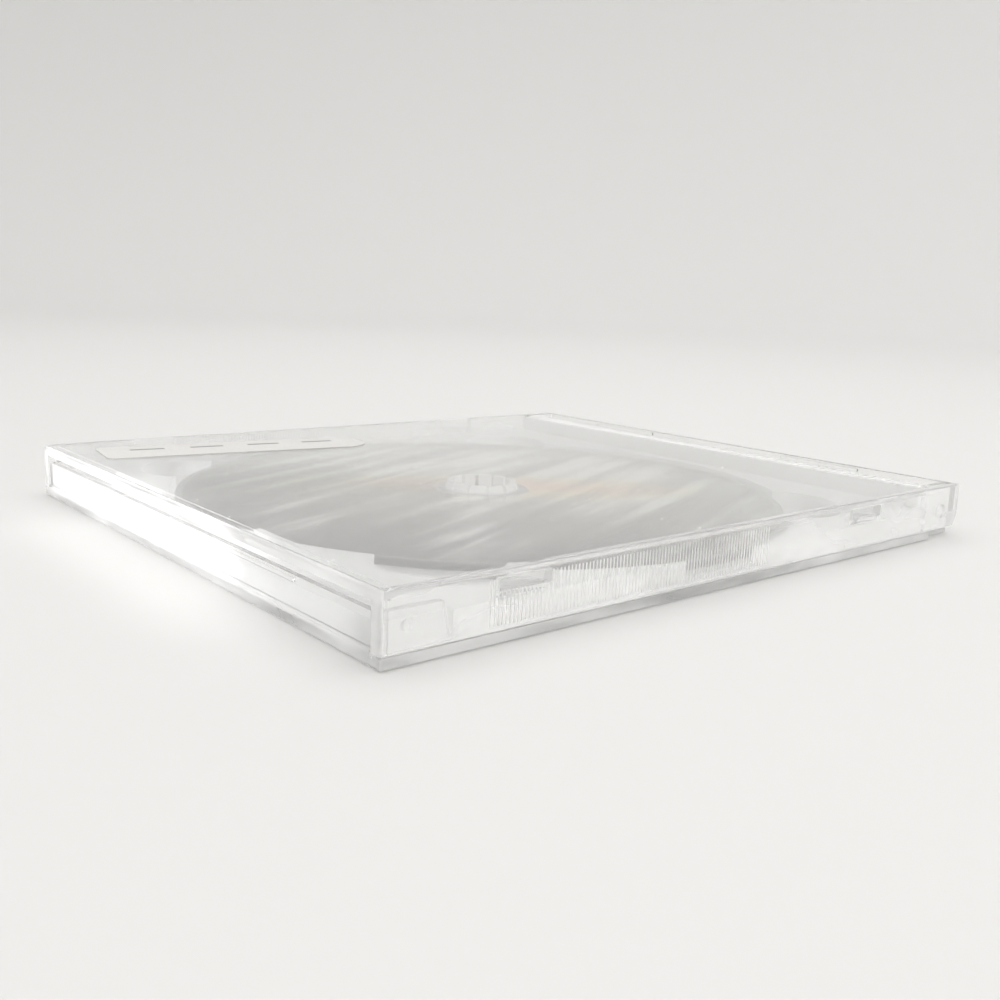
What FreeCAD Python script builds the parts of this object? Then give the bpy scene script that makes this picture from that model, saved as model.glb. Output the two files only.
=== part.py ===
import FreeCAD, Part
import math
import os

# A slim hinged case for one disc, closed and lying flat. X runs from the opening side to
# the hinge side, Y along the hinge line and Z up from the table. The origin is on the
# table under the middle of the case. All sizes are in millimetres.

# Closed case
case_length = 142.0
case_width = 125.0
case_height = 10.4

# Disc
disc_diameter = 120.0
disc_hole = 15.0
disc_thickness = 1.2
disc_edge_chamfer = 0.15
stacking_ring_diameter = 36.4
stacking_ring_width = 0.8
stacking_ring_height = 0.2
disc_setback = 66.5  # from the opening side to the disc's middle

# Front cover
cover_panel = 1.2
cover_wall = 1.6
cover_edge_round = 0.4
cover_seat_gap = 0.25  # cover walls above the base's long edges
swing_gap = 0.3  # beside each face that the cover passes as it swings
hinge_strip = 12.4  # what the cover panel leaves open along the hinge side
lip_width = 2.2
lip_drop = 0.6
post_width = 2.2
post_length = 1.6

# Booklet windows and tabs in the cover's long walls
window_setbacks = (23.4, 107.4)  # from the opening side to each window's middle
window_length = 9.4
window_height = 1.9
window_sill = 7.2
tab_depth = 3.0
tab_thickness = 1.0

# Grip grooves on the cover's long walls
grip_setback = 16.8
grip_length = 61.0
grip_pitch = 0.7
grip_width = 0.3
grip_depth = 0.1
grip_bottom = 2.6
grip_top = 9.0

# Hinge
pivot_setback = 5.2
pivot_height = 5.2
peg_diameter = 2.8
peg_length = 1.5
peg_play = 0.05
peg_chamfer = 0.3

# Snap bumps near the opening side
bump_setback = 4.4
bump_level = 5.0
bump_diameter = 1.8
bump_rise = 0.2

# Back cover
base_panel = 1.2
base_edge_height = 1.6
base_edge_round = 0.3
spine_wall = 1.3
opening_spine_height = 7.1
spine_foot = 2.5  # height of the proud foot along the opening spine
spine_step = 0.3
ear_wall = 1.3
ear_gap = 1.2  # from the end of the cover panel to the hinge ears
ear_round = 2.0
return_length = 11.9
return_slope = 1.4
ridge_length = 20.0
ridge_height = 0.6
ridge_reach = 0.5
ridge_offset = 30.0

# Media tray
tray_skin = 1.0
tray_play = 0.2
disc_lift = 1.5  # from the tray's floor to the disc
well_play = 1.0  # round the disc
platform_rise = 0.7  # corner platforms above the disc
ledge_width = 3.5
ledge_rise = 0.8
finger_radius = 10.0
strip_gap = 0.4  # from the end of the cover panel to the tray's hinge strip
strip_drop = 1.1  # hinge strip below the top of the case
strip_rib_pitch = 2.0
strip_rib_width = 1.0
strip_rib_height = 0.3
stop_setback = 6.4
stop_width = 1.2
stop_length = 22.0
stop_offset = 28.5
stop_rise = 1.4

# Hub
seat_diameter = 34.0
tooth_count = 12
tooth_slot = 0.8
tooth_wall = 1.3
tooth_play = 0.15
tooth_rise = 1.6
tooth_bead = 0.25

# Paper label
label_length = 57.0
label_width = 13.5
label_thickness = 0.12
label_setback = 34.4
label_side_inset = 19.8  # from the long side to the label's middle
label_turn = -8.0
label_corner = 1.5

# Places that several pieces share
open_x = -case_length / 2
hinge_x = case_length / 2
side_y = case_width / 2
disc_x = open_x + disc_setback
pivot_x = hinge_x - pivot_setback
arm_radius = min(pivot_setback, pivot_height, case_height - pivot_height)
panel_end = hinge_x - hinge_strip
panel_under = case_height - cover_panel
cover_inner = side_y - cover_wall
cover_foot = base_edge_height + cover_seat_gap
ear_outer = cover_inner - swing_gap
ear_inner = ear_outer - ear_wall
ear_start = panel_end + ear_gap
opening_spine_half = side_y - post_width - swing_gap
bump_sphere = (bump_diameter**2 / 4 + bump_rise**2) / (2 * bump_rise)
tray_floor = base_panel + tray_skin
disc_under = tray_floor + disc_lift
disc_top = disc_under + disc_thickness
platform_top = disc_top + platform_rise
strip_top = case_height - strip_drop
strip_start = panel_end + strip_gap
tray_open_x = open_x + spine_wall + tray_play
tray_hinge_x = hinge_x - spine_wall - tray_play
tray_narrow = ear_inner - tray_play
tray_wide = ear_outer - tray_play
well_radius = disc_diameter / 2 + well_play
past = 1.0  # how far a cutting shape runs past the face that it cuts


def block(x, y, z):
    """A box from its low and high value on each axis."""
    corner = FreeCAD.Vector(x[0], y[0], z[0])
    return Part.makeBox(x[1] - x[0], y[1] - y[0], z[1] - z[0], corner)


def upright(radius, x, y, z):
    """A cylinder along Z."""
    return Part.makeCylinder(radius, z[1] - z[0], FreeCAD.Vector(x, y, z[0]))


def crosswise(radius, x, y, z):
    """A cylinder along Y."""
    start = FreeCAD.Vector(x, y[0], z)
    return Part.makeCylinder(radius, y[1] - y[0], start, FreeCAD.Vector(0, 1, 0))


def prism(points, travel):
    """A flat outline pushed along a vector."""
    outline = [FreeCAD.Vector(*point) for point in points]
    return Part.Face(Part.makePolygon(outline + outline[:1])).extrude(FreeCAD.Vector(*travel))


def turned(profile, x, y):
    """A radius and height profile turned about an upright axis."""
    points = [(x + radius, y, height) for radius, height in profile]
    outline = [FreeCAD.Vector(*point) for point in points]
    face = Part.Face(Part.makePolygon(outline + outline[:1]))
    return face.revolve(FreeCAD.Vector(x, y, 0), FreeCAD.Vector(0, 0, 1), 360)


def both_sides(*shapes):
    """Shapes and their mirror images across the middle of the case."""
    middle = FreeCAD.Vector(0, 0, 0)
    across = FreeCAD.Vector(0, 1, 0)
    return list(shapes) + [shape.mirror(middle, across) for shape in shapes]


def whole(shape):
    """The shape with its split faces joined, as a bare solid where it is one."""
    clean = shape.removeSplitter()
    return clean.Solids[0] if len(clean.Solids) == 1 else clean


def cover_block():
    """The cover's outer form, with its three outer top edges and two corners rounded."""
    body = block((open_x, hinge_x), (-side_y, side_y), (cover_foot, case_height))
    rim = []
    for edge in body.Edges:
        middle = edge.CenterOfMass
        faces = (middle.x - open_x, abs(middle.y) - side_y, middle.z - case_height)
        if sum(abs(distance) < cover_edge_round / 2 for distance in faces) == 2:
            rim.append(edge)
    return body.makeFillet(cover_edge_round, rim)


def arm_rounding():
    """What is cut from the cover's ends below the pivot to leave them round about it."""
    across = (-side_y - past, side_y + past)
    corner = block((pivot_x, hinge_x + past), across, (cover_foot - past, pivot_height))
    return corner.cut(crosswise(arm_radius, pivot_x, across, pivot_height))


def hinge_peg():
    """The peg on the inner face of a hinge arm, chamfered at its tip."""
    radius = peg_diameter / 2
    tip = cover_inner - peg_length
    peg = crosswise(radius, pivot_x, (tip, cover_inner), pivot_height)
    ends = [edge for edge in peg.Edges if abs(edge.CenterOfMass.y - tip) < peg_chamfer / 2]
    return peg.makeChamfer(peg_chamfer, ends[:1])


def booklet_tab(x):
    """The half-moon tab below a window."""
    radius = (window_length**2 / 4 + tab_depth**2) / (2 * tab_depth)
    tip = cover_inner - tab_depth
    levels = (window_sill - tab_thickness, window_sill)
    moon = upright(radius, x, tip + radius, levels)
    keep = block((x - window_length, x + window_length), (tip - past, cover_inner), levels)
    return moon.common(keep)


def snap_bump():
    """The low dome on the inside of a cover wall."""
    tip = cover_inner - bump_rise
    x = open_x + bump_setback
    dome = Part.makeSphere(bump_sphere, FreeCAD.Vector(x, tip + bump_sphere, bump_level))
    reach = (x - bump_diameter, x + bump_diameter)
    levels = (bump_level - bump_diameter, bump_level + bump_diameter)
    return dome.common(block(reach, (tip - past, cover_inner), levels))


def grip_comb():
    """The cutter for a wall's grip grooves: a row of V teeth with flats between them."""
    proud = grip_depth / 4
    half = grip_width / 2 * (1 + proud / grip_depth)
    start = open_x + grip_setback
    teeth = []
    for index in range(int(grip_length / grip_pitch)):
        x = start + grip_pitch * (index + 0.5)
        teeth.append((x - half, side_y + proud, grip_bottom))
        teeth.append((x, side_y - grip_depth, grip_bottom))
        teeth.append((x + half, side_y + proud, grip_bottom))
    back = side_y + past
    teeth.append((teeth[-1][0], back, grip_bottom))
    teeth.append((teeth[0][0], back, grip_bottom))
    return prism(teeth, (0, 0, grip_top - grip_bottom))


def front_cover():
    """The lid: a shallow open shell with hinge arms, windows, tabs and grips."""
    inside = (-cover_inner, cover_inner)
    far = (open_x - past, hinge_x + past)
    hollow = block(far, inside, (-past, panel_under))
    strip_opening = block((panel_end, hinge_x + past), inside, (-past, case_height + past))
    cover = cover_block().cut([arm_rounding(), hollow, strip_opening])

    lip = block((open_x, open_x + lip_width), inside, (panel_under - lip_drop, panel_under))
    post_inner = side_y - post_width
    post_reach = (open_x, open_x + post_length)
    post = block(post_reach, (post_inner, cover_inner), (cover_foot, panel_under))
    windows = [open_x + setback for setback in window_setbacks]
    added = [lip] + both_sides(post, hinge_peg(), snap_bump(), *map(booklet_tab, windows))
    cover = cover.fuse(added)

    cuts = [grip_comb()]
    for x in windows:
        reach = (x - window_length / 2, x + window_length / 2)
        through = (cover_inner - past, side_y + past)
        cuts.append(block(reach, through, (window_sill, window_sill + window_height)))
    return whole(cover.cut(both_sides(*cuts)))


def base_pan():
    """The base's panel and long edges, with the bottom edges and upright corners rounded."""
    pan = block((open_x, hinge_x), (-side_y, side_y), (0, base_edge_height))
    rim = []
    for edge in pan.Edges:
        if edge.CenterOfMass.z < base_edge_height - base_edge_round / 2:
            rim.append(edge)
    pan = pan.makeFillet(base_edge_round, rim)
    far = (open_x - past, hinge_x + past)
    return pan.cut(block(far, (-ear_outer, ear_outer), (base_panel, base_edge_height + past)))


def corner_return():
    """The short wall that turns the opening spine's end, sloped at its free end."""
    end = open_x + return_length
    top = opening_spine_height
    foot = base_edge_round
    outline = [(open_x, foot), (end, foot), (end - return_slope, top), (open_x, top)]
    wall = prism([(x, ear_inner, z) for x, z in outline], (0, ear_wall, 0))
    post_room = block(
        (open_x - past, open_x + post_length + swing_gap),
        (opening_spine_half, ear_outer + past),
        (-past, top + past),
    )
    x = open_x + bump_setback
    dimple_y = ear_outer - bump_rise + bump_sphere
    dimple = Part.makeSphere(bump_sphere, FreeCAD.Vector(x, dimple_y, bump_level))
    return wall.cut([post_room, dimple])


def hinge_ear():
    """The upright ear beside a hinge arm, with the bore for its peg."""
    levels = (base_edge_round, case_height)
    ear = block((ear_start, hinge_x), (ear_inner, ear_outer), levels)
    corner = []
    for edge in ear.Edges:
        middle = edge.CenterOfMass
        if abs(middle.x - ear_start) + abs(middle.z - case_height) < ear_round / 2:
            corner.append(edge)
    ear = ear.makeFillet(ear_round, corner)
    bore = peg_diameter / 2 + peg_play
    return ear.cut(crosswise(bore, pivot_x, (ear_inner - past, ear_outer + past), pivot_height))


def tray_ridges():
    """The ridges on both spines that hold the tray down."""
    span = (ridge_offset - ridge_length / 2, ridge_offset + ridge_length / 2)
    over_tray = platform_top + tray_play
    over_strip = strip_top + tray_play
    opening_wall = open_x + spine_wall
    hinge_wall = hinge_x - spine_wall
    opening_reach = (opening_wall, opening_wall + ridge_reach)
    hinge_reach = (hinge_wall - ridge_reach, hinge_wall)
    return [
        block(opening_reach, span, (over_tray, over_tray + ridge_height)),
        block(hinge_reach, span, (over_strip, over_strip + ridge_height)),
    ]


def back_cover():
    """The base: panel, long edges, two spines, corner walls, ears and ridges."""
    opening_spine = block(
        (open_x, open_x + spine_wall),
        (-opening_spine_half, opening_spine_half),
        (base_edge_round, opening_spine_height),
    )
    hinge_spine = block(
        (hinge_x - spine_wall, hinge_x), (-ear_outer, ear_outer), (base_edge_round, case_height)
    )
    sides = both_sides(corner_return(), hinge_ear(), *tray_ridges())
    base = base_pan().fuse([opening_spine, hinge_spine] + sides)
    arm_room = block(
        (pivot_x - arm_radius - swing_gap, hinge_x + past),
        (ear_outer, side_y + past),
        (-past, base_edge_height + past),
    )
    above_foot = block(
        (open_x - past, open_x + spine_step),
        (-opening_spine_half, opening_spine_half),
        (spine_foot, opening_spine_height + past),
    )
    return whole(base.cut([above_foot] + both_sides(arm_room)))


def tray_plan(inset, levels):
    """The tray's plan, wide between the corner walls and the hinge strip."""
    x = (tray_open_x + inset, strip_start)
    narrow = block(x, (-tray_narrow + inset, tray_narrow - inset), levels)
    wide_start = open_x + return_length + tray_play + inset
    wide = block((wide_start, strip_start - inset), (-tray_wide + inset, tray_wide - inset), levels)
    return narrow.fuse(wide)


def disc_well(grown, levels):
    """The round well with its four finger recesses."""
    well = upright(well_radius + grown, disc_x, 0, levels)
    reach = well_radius * math.cos(math.radians(45))
    recesses = [
        upright(finger_radius + grown, disc_x + side * reach, reach, levels) for side in (-1, 1)
    ]
    return well.fuse(both_sides(*recesses))


def hub():
    """The raised disc seat and its ring of sprung teeth with a bead over the disc."""
    seat_radius = seat_diameter / 2
    seat_under = disc_under - tray_skin
    seat = upright(seat_radius, disc_x, 0, (base_panel, disc_under))
    seat = seat.cut(upright(seat_radius - tray_skin, disc_x, 0, (base_panel - past, seat_under)))
    outer = disc_hole / 2 - tooth_play
    inner = outer - tooth_wall
    tip = disc_top + tooth_rise
    bead_foot = disc_top + tooth_play
    profile = [
        (inner, seat_under),
        (outer, seat_under),
        (outer, bead_foot),
        (outer + tooth_bead, bead_foot + tooth_bead),
        (outer - tooth_wall / 3, tip),
        (inner, tip),
    ]
    teeth = turned(profile, disc_x, 0)
    slot = block(
        (disc_x, disc_x + outer + tooth_bead + past),
        (-tooth_slot / 2, tooth_slot / 2),
        (disc_under, tip + past),
    )
    axis = FreeCAD.Vector(disc_x, 0, 0)
    slots = []
    for index in range(tooth_count):
        turned_slot = slot.copy()
        turned_slot.rotate(axis, FreeCAD.Vector(0, 0, 1), 360 * index / tooth_count)
        slots.append(turned_slot)
    return seat.fuse(teeth.cut(slots))


def hinge_strip_cover():
    """The raised strip beside the hinge spine: a hollow channel with cross ribs on top."""
    reach = (strip_start, tray_hinge_x)
    across = (-tray_narrow, tray_narrow)
    channel = block(reach, across, (base_panel, strip_top - strip_rib_height))
    hollow = block(
        (strip_start + tray_skin, tray_hinge_x - tray_skin),
        (-tray_narrow + tray_skin, tray_narrow - tray_skin),
        (base_panel - past, strip_top - strip_rib_height - tray_skin),
    )
    count = int((2 * tray_narrow - strip_rib_width) / strip_rib_pitch) + 1
    first = -(count - 1) * strip_rib_pitch / 2
    levels = (strip_top - strip_rib_height - tray_skin / 2, strip_top)
    ribs = []
    for index in range(count):
        y = first + index * strip_rib_pitch
        ribs.append(block(reach, (y - strip_rib_width / 2, y + strip_rib_width / 2), levels))
    return channel.cut(hollow).fuse(ribs)


def media_tray():
    """The tray: a thin stepped shell with well, platforms, hub and hinge strip."""
    high = platform_top + past
    plan = tray_plan(0, (base_panel, platform_top))
    under = tray_plan(tray_skin, (base_panel - past, platform_top - tray_skin))
    under = under.cut(disc_well(tray_skin, (base_panel - 2 * past, high)))
    tray = plan.cut([under, disc_well(0, (tray_floor, high))])

    ledge_levels = (base_panel + tray_skin / 2, tray_floor + ledge_rise)
    ledge = upright(well_radius, disc_x, 0, ledge_levels)
    ledge = ledge.cut(upright(well_radius - ledge_width, disc_x, 0, (base_panel, high)))
    ledge = ledge.common(tray_plan(0, (base_panel, platform_top)))

    seat_hollow = upright(
        seat_diameter / 2 - tray_skin, disc_x, 0, (base_panel - past, disc_under - tray_skin)
    )
    stop_x = open_x + stop_setback
    stop_span = (stop_offset - stop_length / 2, stop_offset + stop_length / 2)
    stop_levels = (platform_top - tray_skin / 2, platform_top + stop_rise)
    stop = block((stop_x, stop_x + stop_width), stop_span, stop_levels)
    tray = tray.cut(seat_hollow)
    return whole(tray.fuse([ledge, hub(), hinge_strip_cover()] + both_sides(stop)))


def disc():
    """The disc, with chamfered rims and a stacking ring on its underside."""
    rim = disc_diameter / 2
    hole = disc_hole / 2
    edge = disc_edge_chamfer
    ring_outer = stacking_ring_diameter / 2
    ring_inner = ring_outer - stacking_ring_width
    ring_foot = disc_under - stacking_ring_height
    profile = [
        (hole, disc_under),
        (ring_inner, disc_under),
        (ring_inner, ring_foot),
        (ring_outer, ring_foot),
        (ring_outer, disc_under),
        (rim - edge, disc_under),
        (rim, disc_under + edge),
        (rim, disc_top - edge),
        (rim - edge, disc_top),
        (hole, disc_top),
    ]
    return whole(turned(profile, disc_x, 0))


def paper_label():
    """The label on the cover: square at one end, round at the other, and a little askew."""
    half = label_width / 2
    levels = (case_height, case_height + label_thickness)
    straight = block((-label_length / 2, label_length / 2 - half), (-half, half), levels)
    corners = []
    for edge in straight.Edges:
        middle = edge.CenterOfMass
        upright_edge = abs(middle.z - sum(levels) / 2) < label_thickness / 4
        if upright_edge and middle.x < 0 and abs(abs(middle.y) - half) < label_corner / 4:
            corners.append(edge)
    label = straight.makeFillet(label_corner, corners)
    label = label.fuse(upright(half, label_length / 2 - half, 0, levels))
    label = whole(label)
    label.rotate(FreeCAD.Vector(0, 0, 0), FreeCAD.Vector(0, 0, 1), label_turn)
    label.translate(FreeCAD.Vector(open_x + label_setback, side_y - label_side_inset, 0))
    return label


pieces = {
    "front_cover": front_cover(),
    "back_cover": back_cover(),
    "media_tray": media_tray(),
    "disc": disc(),
    "paper_label": paper_label(),
}

os.makedirs("parts", exist_ok=True)
for name, shape in pieces.items():
    shape.exportStep(f"parts/{name}.step")
    solids = len(shape.Solids)
    print(f"{name}: {solids} solid, valid {shape.isValid()}, {shape.Volume / 1000:.2f} cm3")
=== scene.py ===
import math

import bmesh
import bpy
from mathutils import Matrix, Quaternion, Vector


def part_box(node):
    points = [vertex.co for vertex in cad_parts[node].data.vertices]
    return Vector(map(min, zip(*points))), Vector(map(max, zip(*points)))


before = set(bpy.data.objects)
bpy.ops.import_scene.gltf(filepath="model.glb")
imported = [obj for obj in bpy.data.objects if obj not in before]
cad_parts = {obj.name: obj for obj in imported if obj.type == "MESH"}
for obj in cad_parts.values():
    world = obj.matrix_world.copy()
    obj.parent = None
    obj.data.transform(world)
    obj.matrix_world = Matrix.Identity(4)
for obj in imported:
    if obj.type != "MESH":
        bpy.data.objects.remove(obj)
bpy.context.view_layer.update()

# Camera, at the photograph's low corner view. Distances are in metres, angles in degrees.
CAMERA_PLACE = Vector((-0.14003, -0.16419, 0.04700))
CAMERA_LOOK = Vector((0.63737, 0.74409, -0.20025))
CAMERA_ROLL = 2.33
CAMERA_LENS_MM = 38.18
CAMERA_SENSOR_MM = 36.0
CAMERA_NEAREST = 0.005
CAMERA_FARTHEST = 20.0

# Stage: a round pale floor that curves up into a wall on every side
FLOOR_LEVEL = -0.0002
FLOOR_RADIUS = 0.9
SWEEP_RADIUS = 0.7
SWEEP_STEPS = 12
WALL_TOP = 1.6
STAGE_SEGMENTS = 96
# Painted light: the stage's colour grows paler along this direction, as if more light fell on that
# side
STAGE_PAINTED_LIGHT_ACROSS = (0.765, -0.644, 0.0)
STAGE_PAINTED_LIGHT_TONES = [
    (0.0, (0.54, 0.538, 0.533)),
    (0.45, (0.60, 0.597, 0.592)),
    (1.0, (0.64, 0.637, 0.632)),
]
STAGE_ROUGHNESS = 0.7
STAGE_GLOSS = 0.2

# Light. A lamp's power is in watts and its spread in degrees.
SKY_COLOUR = (1.0, 0.995, 0.985, 1.0)
SKY_STRENGTH = 1.89
WINDOW_PLACE = (-0.12, -1.23, 0.62)
WINDOW_SIZE = (0.9, 0.7)
WINDOW_POWER = 0.80
WINDOW_SPREAD = 50.0
WINDOW_COLOUR = (1.0, 0.99, 0.97)
GLARE_COLOUR = (1.0, 1.0, 1.0)

# Light meets this many clear surfaces, or this many matt ones, before it is given up
CLEAR_BOUNCES = 40
MATT_BOUNCES = 8

# Fine relief of scratches and paper fibres
RELIEF_DEPTH = 0.00005

# Clear polystyrene
CLEAR_IOR = 1.59
CLEAR_SHADE = 0.99
CLEAREST_ROUGHNESS = 0.004
HAZE_SCALE = 60.0
SCRATCH_TURN = 0.6  # in radians
SCRATCH_SCALE = (90.0, 1800.0, 300.0)
SCATTER_TONE = 0.95
SCATTER_BACK = 0.7  # the share of scattered light that is thrown back
# Patches of the wear and of the painted light on the upright faces
WEAR_AND_LIGHT_PATCH_SCALE = (45.0, 45.0, 140.0)
DUST_CELLS = 120.0
# Painted light lifts the shade on upright faces below this height
FOOT_LIGHT_HEIGHT = 0.0019
LEVEL_FACE = 0.9  # a face is level where its normal's Z is beyond this

# Disc rings, as radii from its middle
disc_low, disc_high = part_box("disc")
DISC_MIDDLE = (Vector(disc_low) + Vector(disc_high)) / 2
DISC_RADIUS = (disc_high[0] - disc_low[0]) / 2
BAND_START = 0.0095
BAND_END = 0.0586
MIRROR_START = 0.0225
RING_BLUR = 0.005  # as a share of the disc's radius

# Disc face: painted sheen in slanting streaks, painted shade towards one side, and a painted rainbow
# sheen in a warm oval
STREAK_TURN = math.radians(22.0)
STREAK_SCALE = (6.0, 190.0, 1.0)
PATCH_SCALE = (16.0, 60.0, 1.0)
# Painted highlights: two pale streaks that lift the disc's tone
PAINTED_HIGHLIGHT_LIFT = 0.07
# Painted sheen and painted shade: the streaks' tones on the lit side and on the shaded side
PAINTED_LIT_TONES = [(0.43, (0.32, 0.32, 0.30)), (0.50, (0.64, 0.65, 0.60)), (0.56, (1.0, 1.0, 0.98))]
PAINTED_SHADE_TONES = [(0.46, (0.015, 0.011, 0.012)), (0.52, (0.12, 0.095, 0.10)), (0.58, (0.80, 0.76, 0.76))]
# Painted shade: the disc is darker at the end this direction points away from
PAINTED_SHADE_ACROSS = (0.77, 0.64, 0.0)
# Painted rainbow sheen: a warm oval, orange at its middle and white beyond it
RAINBOW_MIDDLE = (0.006, -0.001, 0.0)
RAINBOW_TURN = math.radians(-34.0)
RAINBOW_REACH = (0.052, 0.015, 1.0)
RAINBOW_FRAY_SCALE = (35.0, 60.0, 1.0)
RAINBOW_SHRINK = 0.65
RAINBOW_SHEEN_TONES = [
    (0.50, (1.0, 0.64, 0.40)),
    (0.68, (1.0, 0.79, 0.53)),
    (0.84, (0.96, 0.96, 0.73)),
    (1.0, (1.0, 1.0, 1.0)),
]
RIM_TONES = [(0.78, (1.0, 1.0, 1.0)), (0.96, (0.55, 0.56, 0.53))]
DISC_ROUGHNESS = 0.25
DISC_GRAIN = 0.6

# Disc underside: a mirror around a greyer ring
UNDERSIDE = -0.5  # a face is the underside where its normal's Z is below this
INNER_TONE = 0.45
MIRROR_TONE = 0.88

# How much light each face of the disc lets through to what lies below
DISC_SHADE = 0.7

# Label: a row of plain dashes along its length
label_low, label_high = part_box("paper_label")
LABEL_MIDDLE = (Vector(label_low) + Vector(label_high)) / 2
LABEL_TURN = math.radians(-8.0)
DASHES = 4
DASH_PITCH = 0.0124
DASH_LENGTH = 0.007
DASH_HEIGHT = 0.0014
DASH_RISE = 0.0018
DASH_TONE = 0.26
PAPER_TONES = [(0.30, (0.52, 0.515, 0.50)), (0.70, (0.58, 0.57, 0.555))]
PAPER_ROUGHNESS = 0.85
FIBRE_SCALE = 1500.0
FIBRE_RELIEF = 0.2


def new_material(name):
    """A material with an empty node tree, and its links."""
    material = bpy.data.materials.new(name)
    material.use_nodes = True
    material.node_tree.nodes.clear()
    return material, material.node_tree.nodes, material.node_tree.links


def grey(value):
    """A grey colour with full alpha."""
    return (value, value, value, 1.0)


def ramp(nodes, links, factor, stops):
    """A colour that follows a factor through (place, colour) pairs."""
    node = nodes.new("ShaderNodeValToRGB")
    elements = node.color_ramp.elements
    while len(elements) < len(stops):
        elements.new(0.5)
    for element, (place, colour) in zip(elements, stops):
        element.position = place
        element.color = colour if len(colour) == 4 else (*colour, 1.0)
    links.new(factor, node.inputs["Fac"])
    return node.outputs["Color"]


def math_node(nodes, links, operation, first, second=None):
    """A Math node on one or two sockets or numbers."""
    node = nodes.new("ShaderNodeMath")
    node.operation = operation
    for socket, value in zip(node.inputs, (first, second)):
        if value is None:
            continue
        if isinstance(value, (int, float)):
            socket.default_value = value
        else:
            links.new(value, socket)
    return node.outputs["Value"]


def vector_math(nodes, links, operation, vector, constant=None):
    """A Vector Math node on a socket and, for most operations, a constant vector."""
    node = nodes.new("ShaderNodeVectorMath")
    node.operation = operation
    links.new(vector, node.inputs[0])
    if constant is not None:
        node.inputs[1].default_value = constant
    is_number = operation in ("DOT_PRODUCT", "LENGTH")
    return node.outputs["Value" if is_number else "Vector"]


def multiplied(nodes, links, first, second):
    """The product of two colours."""
    node = nodes.new("ShaderNodeVectorMath")
    node.operation = "MULTIPLY"
    links.new(first, node.inputs[0])
    links.new(second, node.inputs[1])
    return node.outputs["Vector"]


def mixed(nodes, links, factor, first, second):
    """A mix of two colours, each a socket or a plain colour."""
    node = nodes.new("ShaderNodeMix")
    node.data_type = "RGBA"
    links.new(factor, node.inputs["Factor"])
    for name, value in (("A", first), ("B", second)):
        if isinstance(value, tuple):
            node.inputs[name].default_value = value
        else:
            links.new(value, node.inputs[name])
    return node.outputs["Result"]


def separated(nodes, links, vector):
    """The X, Y and Z outputs of a vector."""
    node = nodes.new("ShaderNodeSeparateXYZ")
    links.new(vector, node.inputs["Vector"])
    return node.outputs


def turned_about_z(nodes, links, vector, angle, scale=(1.0, 1.0, 1.0)):
    """A vector that is scaled and then turned about Z."""
    node = nodes.new("ShaderNodeMapping")
    node.inputs["Rotation"].default_value = (0.0, 0.0, angle)
    node.inputs["Scale"].default_value = scale
    links.new(vector, node.inputs["Vector"])
    return node.outputs["Vector"]


def soft_noise(nodes, links, vector, scale=1.0, detail=2.0):
    """Soft noise of a vector."""
    node = nodes.new("ShaderNodeTexNoise")
    node.inputs["Scale"].default_value = scale
    node.inputs["Detail"].default_value = detail
    links.new(vector, node.inputs["Vector"])
    return node.outputs["Fac"]


def stretched_noise(nodes, links, vector, scale):
    """Soft noise of a vector, drawn out by a scale along each axis."""
    return soft_noise(nodes, links, vector_math(nodes, links, "MULTIPLY", vector, scale))


def relief(nodes, links, height, strength):
    """A normal with a fine relief."""
    node = nodes.new("ShaderNodeBump")
    node.inputs["Strength"].default_value = strength
    node.inputs["Distance"].default_value = RELIEF_DEPTH
    links.new(height, node.inputs["Height"])
    return node.outputs["Normal"]


def show(nodes, links, shader):
    """Ends a material with a shader."""
    output = nodes.new("ShaderNodeOutputMaterial")
    links.new(shader, output.inputs["Surface"])


def show_lit_through(nodes, links, shader, shade):
    """Ends a material with a shader whose shadow lets a share of the light through."""
    passing = nodes.new("ShaderNodeBsdfTransparent")
    passing.inputs["Color"].default_value = grey(shade)
    path = nodes.new("ShaderNodeLightPath")
    either = nodes.new("ShaderNodeMixShader")
    links.new(path.outputs["Is Shadow Ray"], either.inputs["Fac"])
    links.new(shader, either.inputs[1])
    links.new(passing.outputs["BSDF"], either.inputs[2])
    show(nodes, links, either.outputs["Shader"])


def scattering(nodes, links):
    """A shader that throws light back and lets some through, in every direction."""
    passing = nodes.new("ShaderNodeBsdfTranslucent")
    passing.inputs["Color"].default_value = grey(SCATTER_TONE)
    thrown = nodes.new("ShaderNodeBsdfDiffuse")
    thrown.inputs["Color"].default_value = grey(SCATTER_TONE)
    scatter = nodes.new("ShaderNodeMixShader")
    scatter.inputs["Fac"].default_value = SCATTER_BACK
    links.new(passing.outputs["BSDF"], scatter.inputs[1])
    links.new(thrown.outputs["BSDF"], scatter.inputs[2])
    return scatter.outputs["Shader"]


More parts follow.
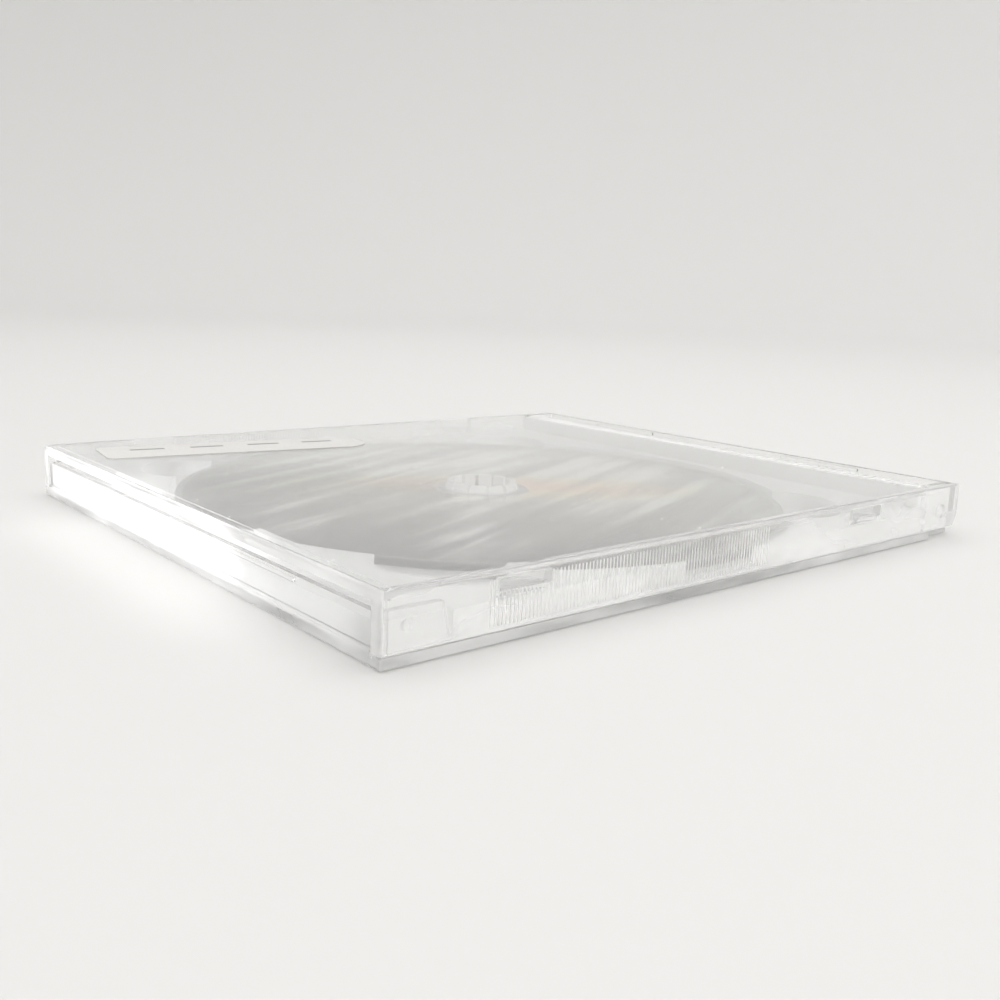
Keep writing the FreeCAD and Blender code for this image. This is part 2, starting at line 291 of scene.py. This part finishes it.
def wear_and_painted_light(nodes, links, place, milk, scuffs_and_side_light, painted_foot_light, dust):
    """A socket with how milky the plastic is from place to place: wear and dust, and painted light
    on its upright faces.
    """
    facing = separated(nodes, links, place.outputs["Normal"])
    patches_of_wear_and_light = stretched_noise(nodes, links, place.outputs["Object"], WEAR_AND_LIGHT_PATCH_SCALE)
    patchy = ramp(nodes, links, patches_of_wear_and_light, [(0.30, grey(0.25)), (0.50, grey(0.5)), (0.70, grey(0.75))])
    wear_and_light = milk
    # Partly wear, partly painted light: faces across X and across Y are made milkier and so paler
    for axis, scuff_and_side_light in zip("XY", scuffs_and_side_light):
        side = math_node(nodes, links, "ABSOLUTE", facing[axis])
        side = math_node(nodes, links, "MULTIPLY", side, 2 * scuff_and_side_light)
        side = math_node(nodes, links, "MULTIPLY", side, patchy)
        wear_and_light = math_node(nodes, links, "ADD", side, wear_and_light)
    # Painted light: upright faces close to the table are made milkier, which lifts the shade there
    if painted_foot_light:
        upright = math_node(nodes, links, "ABSOLUTE", facing["Z"])
        upright = math_node(nodes, links, "LESS_THAN", upright, LEVEL_FACE)
        height = separated(nodes, links, place.outputs["Object"])["Z"]
        low = math_node(nodes, links, "LESS_THAN", height, FOOT_LIGHT_HEIGHT)
        painted_foot_lift = math_node(nodes, links, "MULTIPLY", upright, low)
        painted_foot_lift = math_node(nodes, links, "MULTIPLY", painted_foot_lift, 2 * painted_foot_light)
        painted_foot_lift = math_node(nodes, links, "MULTIPLY", painted_foot_lift, patchy)
        wear_and_light = math_node(nodes, links, "MAXIMUM", wear_and_light, painted_foot_lift)
    if dust:
        cells = nodes.new("ShaderNodeTexVoronoi")
        cells.voronoi_dimensions = "2D"
        cells.inputs["Scale"].default_value = DUST_CELLS
        links.new(place.outputs["Object"], cells.inputs["Vector"])
        chance = nodes.new("ShaderNodeSeparateColor")
        links.new(cells.outputs["Color"], chance.inputs["Color"])
        size = math_node(nodes, links, "MULTIPLY", chance.outputs["Red"], chance.outputs["Green"])
        size = math_node(nodes, links, "MULTIPLY", size, dust)
        speck = math_node(nodes, links, "LESS_THAN", cells.outputs["Distance"], size)
        top = math_node(nodes, links, "GREATER_THAN", facing["Z"], LEVEL_FACE)
        speck = math_node(nodes, links, "MULTIPLY", speck, top)
        wear_and_light = math_node(nodes, links, "MAXIMUM", wear_and_light, speck)
    return wear_and_light


def clear_plastic(name, haze, milk, scratch, scuffs_and_side_light=None, painted_foot_light=0.0, dust=0.0):
    """Polished clear polystyrene with hairline scratches.

    The haze is its roughness where it is dullest, the milk the share of light that it
    scatters all over, and the scratch how strong its scratches are. The scuffs are how much
    milkier its faces across X and across Y are, partly wear and partly painted light that
    makes those faces paler. The foot is painted light that makes its upright faces close to
    the table milkier, which lifts the shade there, and the dust is how large the specks on its
    top faces are. Without scuffs it has neither wear nor painted light.
    """
    material, nodes, links = new_material(name)
    place = nodes.new("ShaderNodeTexCoord")
    cloud = soft_noise(nodes, links, place.outputs["Object"], HAZE_SCALE, detail=4.0)
    gloss = ramp(nodes, links, cloud, [(0.42, grey(CLEAREST_ROUGHNESS)), (0.75, grey(haze))])
    stretch = turned_about_z(nodes, links, place.outputs["Object"], SCRATCH_TURN, SCRATCH_SCALE)
    hairs = soft_noise(nodes, links, stretch)
    lines = ramp(nodes, links, hairs, [(0.60, grey(0.0)), (0.72, grey(1.0))])

    plastic = nodes.new("ShaderNodeBsdfPrincipled")
    plastic.inputs["Base Color"].default_value = grey(1.0)
    plastic.inputs["IOR"].default_value = CLEAR_IOR
    plastic.inputs["Transmission Weight"].default_value = 1.0
    links.new(gloss, plastic.inputs["Roughness"])
    links.new(relief(nodes, links, lines, scratch), plastic.inputs["Normal"])

    milky = nodes.new("ShaderNodeMixShader")
    if scuffs_and_side_light:
        links.new(wear_and_painted_light(nodes, links, place, milk, scuffs_and_side_light, painted_foot_light, dust), milky.inputs["Fac"])
    else:
        milky.inputs["Fac"].default_value = milk
    links.new(plastic.outputs["BSDF"], milky.inputs[1])
    links.new(scattering(nodes, links), milky.inputs[2])
    show_lit_through(nodes, links, milky.outputs["Shader"], CLEAR_SHADE)
    return material


def painted_sheen_and_shade(nodes, links, flat, along):
    """Painted sheen and shade: slanting streaks with two pale highlight bands, darkened by painted
    shade at one side of the disc and pale at the other.
    """
    streaks = stretched_noise(nodes, links, along, STREAK_SCALE)
    patches = stretched_noise(nodes, links, along, PATCH_SCALE)
    both = math_node(nodes, links, "ADD", streaks, patches)
    both = math_node(nodes, links, "MULTIPLY", both, 0.5)
    sideways = separated(nodes, links, along)["Y"]
    sideways = math_node(nodes, links, "DIVIDE", sideways, 2 * DISC_RADIUS)
    sideways = math_node(nodes, links, "ADD", sideways, 0.5)
    painted_highlight_bands = [
        (0.25, grey(0.0)),
        (0.30, grey(1.0)),
        (0.34, grey(0.0)),
        (0.38, grey(0.0)),
        (0.405, grey(1.0)),
        (0.43, grey(0.0)),
    ]
    highlight_bands = ramp(nodes, links, sideways, painted_highlight_bands)
    highlight_lift = math_node(nodes, links, "MULTIPLY", highlight_bands, PAINTED_HIGHLIGHT_LIFT)
    both = math_node(nodes, links, "ADD", both, highlight_lift)
    painted_lit = ramp(nodes, links, both, PAINTED_LIT_TONES)
    painted_shade = ramp(nodes, links, both, PAINTED_SHADE_TONES)
    # Painted shade: the shaded tones at one side of the disc, the lit tones at the other
    depth = vector_math(nodes, links, "DOT_PRODUCT", flat, PAINTED_SHADE_ACROSS)
    across = math_node(nodes, links, "DIVIDE", depth, 2 * DISC_RADIUS)
    across = math_node(nodes, links, "ADD", across, 0.5)
    shade_fade = ramp(nodes, links, across, [(0.10, grey(0.0)), (0.50, grey(1.0))])
    return mixed(nodes, links, shade_fade, painted_shade, painted_lit)


def painted_rainbow_oval(nodes, links, flat, along):
    """Painted rainbow sheen: a warm oval with a frayed edge, white beyond it."""
    moved = vector_math(nodes, links, "SUBTRACT", flat, RAINBOW_MIDDLE)
    oval = turned_about_z(nodes, links, moved, -RAINBOW_TURN)
    shared = vector_math(nodes, links, "DIVIDE", oval, RAINBOW_REACH)
    reach = vector_math(nodes, links, "LENGTH", shared)
    clouds = stretched_noise(nodes, links, along, RAINBOW_FRAY_SCALE)
    frayed = math_node(nodes, links, "ADD", reach, clouds)
    frayed = math_node(nodes, links, "MULTIPLY", frayed, RAINBOW_SHRINK)
    return ramp(nodes, links, frayed, RAINBOW_SHEEN_TONES)


def disc_metal():
    """The disc: a metal band between clear rings, with painted sheen in soft slanting streaks,
    painted shade and a painted rainbow sheen.
    """
    material, nodes, links = new_material("disc metal")
    place = nodes.new("ShaderNodeTexCoord").outputs["Object"]
    centred = vector_math(nodes, links, "SUBTRACT", place, (DISC_MIDDLE.x, DISC_MIDDLE.y, 0.0))
    flat = vector_math(nodes, links, "MULTIPLY", centred, (1.0, 1.0, 0.0))
    length = vector_math(nodes, links, "LENGTH", flat)
    share = math_node(nodes, links, "DIVIDE", length, DISC_RADIUS)
    rings = [
        (BAND_START / DISC_RADIUS, grey(0.0)),
        (BAND_START / DISC_RADIUS + RING_BLUR, grey(1.0)),
        (BAND_END / DISC_RADIUS, grey(1.0)),
        (BAND_END / DISC_RADIUS + RING_BLUR, grey(0.0)),
    ]
    band = ramp(nodes, links, share, rings)
    clear = math_node(nodes, links, "SUBTRACT", 1.0, band)

    # Painted sheen, painted shade and a painted rainbow sheen on the disc's face
    along = turned_about_z(nodes, links, flat, -STREAK_TURN)
    sheen_and_shade = painted_sheen_and_shade(nodes, links, flat, along)
    rainbow_sheen = painted_rainbow_oval(nodes, links, flat, along)
    face_tone = multiplied(nodes, links, sheen_and_shade, rainbow_sheen)
    rim = ramp(nodes, links, share, RIM_TONES)
    face_tone = multiplied(nodes, links, face_tone, rim)

    side = nodes.new("ShaderNodeNewGeometry")
    normal = separated(nodes, links, side.outputs["Normal"])
    under = math_node(nodes, links, "LESS_THAN", normal["Z"], UNDERSIDE)
    mirror_place = MIRROR_START / DISC_RADIUS
    mirror_stops = [(mirror_place, grey(INNER_TONE)), (mirror_place + RING_BLUR, grey(MIRROR_TONE))]
    mirror = ramp(nodes, links, share, mirror_stops)
    faced = mixed(nodes, links, under, face_tone, mirror)
    plain = mixed(nodes, links, band, grey(1.0), faced)

    tangent = nodes.new("ShaderNodeTangent")
    tangent.direction_type = "RADIAL"
    tangent.axis = "Z"
    metal = nodes.new("ShaderNodeBsdfPrincipled")
    metal.inputs["IOR"].default_value = CLEAR_IOR
    metal.inputs["Roughness"].default_value = DISC_ROUGHNESS
    metal.inputs["Anisotropic"].default_value = DISC_GRAIN
    links.new(plain, metal.inputs["Base Color"])
    links.new(band, metal.inputs["Metallic"])
    links.new(clear, metal.inputs["Transmission Weight"])
    links.new(tangent.outputs["Tangent"], metal.inputs["Tangent"])
    show_lit_through(nodes, links, metal.outputs["BSDF"], DISC_SHADE)
    return material


def label_paper():
    """Off-white paper with a soft fibre grain and a row of plain grey dashes."""
    material, nodes, links = new_material("label paper")
    place = nodes.new("ShaderNodeTexCoord").outputs["Object"]
    fibres = soft_noise(nodes, links, place, FIBRE_SCALE, detail=6.0)
    tone = ramp(nodes, links, fibres, PAPER_TONES)

    centred = vector_math(nodes, links, "SUBTRACT", place, LABEL_MIDDLE)
    parts = separated(nodes, links, turned_about_z(nodes, links, centred, -LABEL_TURN))
    count = math_node(nodes, links, "DIVIDE", parts["X"], DASH_PITCH)
    beyond = math_node(nodes, links, "ABSOLUTE", count)
    inside = math_node(nodes, links, "LESS_THAN", beyond, DASHES / 2)
    beat = math_node(nodes, links, "FRACT", count)
    beat = math_node(nodes, links, "SUBTRACT", beat, 0.5)
    beat = math_node(nodes, links, "ABSOLUTE", beat)
    along = math_node(nodes, links, "LESS_THAN", beat, DASH_LENGTH / DASH_PITCH / 2)
    off = math_node(nodes, links, "SUBTRACT", parts["Y"], DASH_RISE)
    off = math_node(nodes, links, "ABSOLUTE", off)
    on_line = math_node(nodes, links, "LESS_THAN", off, DASH_HEIGHT / 2)
    dash = math_node(nodes, links, "MULTIPLY", along, on_line)
    dash = math_node(nodes, links, "MULTIPLY", dash, inside)
    marked = mixed(nodes, links, dash, tone, grey(DASH_TONE))

    paper = nodes.new("ShaderNodeBsdfPrincipled")
    paper.inputs["Roughness"].default_value = PAPER_ROUGHNESS
    links.new(marked, paper.inputs["Base Color"])
    links.new(relief(nodes, links, fibres, FIBRE_RELIEF), paper.inputs["Normal"])
    show(nodes, links, paper.outputs["BSDF"])
    return material


def stage_material():
    """A matt pale surface, with painted light that makes it a little paler across the stage."""
    material, nodes, links = new_material("stage")
    place = nodes.new("ShaderNodeTexCoord").outputs["Object"]
    # Painted light: paler towards one side of the stage
    across = vector_math(nodes, links, "DOT_PRODUCT", place, STAGE_PAINTED_LIGHT_ACROSS)
    share = math_node(nodes, links, "DIVIDE", across, 2 * FLOOR_RADIUS)
    share = math_node(nodes, links, "ADD", share, 0.5)
    floor = nodes.new("ShaderNodeBsdfPrincipled")
    floor.inputs["Roughness"].default_value = STAGE_ROUGHNESS
    floor.inputs["Specular IOR Level"].default_value = STAGE_GLOSS
    links.new(ramp(nodes, links, share, STAGE_PAINTED_LIGHT_TONES), floor.inputs["Base Color"])
    show(nodes, links, floor.outputs["BSDF"])
    return material


def build_stage():
    """The floor, its curved sweep and the wall, as one turned surface."""
    profile = [(0.0, FLOOR_LEVEL), (FLOOR_RADIUS / 3, FLOOR_LEVEL)]
    for step in range(SWEEP_STEPS + 1):
        bend = math.pi / 2 * step / SWEEP_STEPS
        reach = FLOOR_RADIUS + SWEEP_RADIUS * math.sin(bend)
        profile.append((reach, FLOOR_LEVEL + SWEEP_RADIUS * (1 - math.cos(bend))))
    profile.append((FLOOR_RADIUS + SWEEP_RADIUS, WALL_TOP))
    mesh = bpy.data.meshes.new("stage")
    shell = bmesh.new()
    row = [shell.verts.new((reach, 0.0, level)) for reach, level in profile]
    edges = [shell.edges.new(pair) for pair in zip(row, row[1:])]
    bmesh.ops.spin(
        shell,
        geom=row + edges,
        cent=(0, 0, 0),
        axis=(0, 0, 1),
        angle=2 * math.pi,
        steps=STAGE_SEGMENTS,
        use_merge=True,
    )
    bmesh.ops.remove_doubles(shell, verts=shell.verts, dist=1e-6)
    for face in shell.faces:
        face.smooth = True
    shell.to_mesh(mesh)
    shell.free()
    stage = bpy.data.objects.new("stage", mesh)
    mesh.materials.append(stage_material())
    bpy.context.scene.collection.objects.link(stage)


def area_light(name, place, target, size, power, spread, colour):
    """A rectangular lamp that faces a target and is out of the camera's sight."""
    lamp = bpy.data.lights.new(name, "AREA")
    lamp.shape = "RECTANGLE"
    lamp.size, lamp.size_y = size
    lamp.energy = power
    lamp.spread = math.radians(spread)
    lamp.color = colour
    holder = bpy.data.objects.new(name, lamp)
    holder.location = place
    facing = Vector(target) - Vector(place)
    holder.rotation_mode = "QUATERNION"
    holder.rotation_quaternion = facing.to_track_quat("-Z", "Y")
    holder.visible_camera = False
    holder.visible_transmission = False
    bpy.context.scene.collection.objects.link(holder)
    return holder


def beam(name, place, target, size, power, spread):
    """A narrow lamp that lights a strip and isn't seen in reflections either."""
    holder = area_light(name, place, target, size, power, spread, GLARE_COLOUR)
    holder.visible_glossy = False


def build_light():
    """Soft light from everywhere, a window on the -Y side and glare along the opening side."""
    world = bpy.data.worlds.new("soft light")
    bpy.context.scene.world = world
    world.use_nodes = True
    sky = world.node_tree.nodes["Background"]
    sky.inputs["Color"].default_value = SKY_COLOUR
    sky.inputs["Strength"].default_value = SKY_STRENGTH
    area_light(
        "window",
        place=WINDOW_PLACE,
        target=(0.0, 0.0, 0.0),
        size=WINDOW_SIZE,
        power=WINDOW_POWER,
        spread=WINDOW_SPREAD,
        colour=WINDOW_COLOUR,
    )
    beam(
        "floor glare",
        place=(-0.20, 0.0, 0.16),
        target=(-0.0745, 0.0, 0.0),
        size=(0.075, 0.002),
        power=0.0009,
        spread=8.0,
    )
    beam(
        "face glare",
        place=(-0.33, 0.021, 0.045),
        target=(-0.071, 0.021, 0.006),
        size=(0.082, 0.006),
        power=0.0038,
        spread=3.0,
    )
    beam(
        "near face glare",
        place=(-0.33, -0.036, 0.045),
        target=(-0.071, -0.036, 0.004),
        size=(0.040, 0.008),
        power=0.0005,
        spread=3.0,
    )


def build_camera():
    """The camera, set at the photograph's view."""
    data = bpy.data.cameras.new("camera")
    data.lens = CAMERA_LENS_MM
    data.sensor_width = CAMERA_SENSOR_MM
    data.clip_start = CAMERA_NEAREST
    data.clip_end = CAMERA_FARTHEST
    camera = bpy.data.objects.new("camera", data)
    camera.location = CAMERA_PLACE
    camera.rotation_mode = "QUATERNION"
    roll = Quaternion((0.0, 0.0, 1.0), math.radians(CAMERA_ROLL))
    camera.rotation_quaternion = CAMERA_LOOK.to_track_quat("-Z", "Y") @ roll
    bpy.context.scene.collection.objects.link(camera)
    bpy.context.scene.camera = camera


def dress(node, material):
    """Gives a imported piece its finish."""
    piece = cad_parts[node]
    for place in piece.material_slots:
        place.link = "OBJECT"
        place.material = material


clear_cover = clear_plastic(
    "clear cover",
    haze=0.02,
    milk=0.09,
    scratch=0.01,
    # The scuffs are partly wear, partly painted light on the upright faces
    scuffs_and_side_light=(0.50, 0.14),
    dust=0.025,
)
clear_base = clear_plastic(
    "clear base",
    haze=0.02,
    milk=0.03,
    scratch=0.01,
    # The scuffs are partly wear, partly painted light; the foot is painted light near the table
    scuffs_and_side_light=(0.12, 0.06),
    painted_foot_light=0.40,
)
clear_tray = clear_plastic("clear tray", haze=0.05, milk=0.54, scratch=0.02)
dress("front_cover", clear_cover)
dress("back_cover", clear_base)
dress("media_tray", clear_tray)
dress("disc", disc_metal())
dress("paper_label", label_paper())
build_stage()
build_light()
build_camera()

scene = bpy.context.scene
scene.view_settings.view_transform = "Standard"
scene.cycles.max_bounces = CLEAR_BOUNCES
scene.cycles.transmission_bounces = CLEAR_BOUNCES
scene.cycles.glossy_bounces = CLEAR_BOUNCES
scene.cycles.diffuse_bounces = MATT_BOUNCES
scene.cycles.transparent_max_bounces = CLEAR_BOUNCES
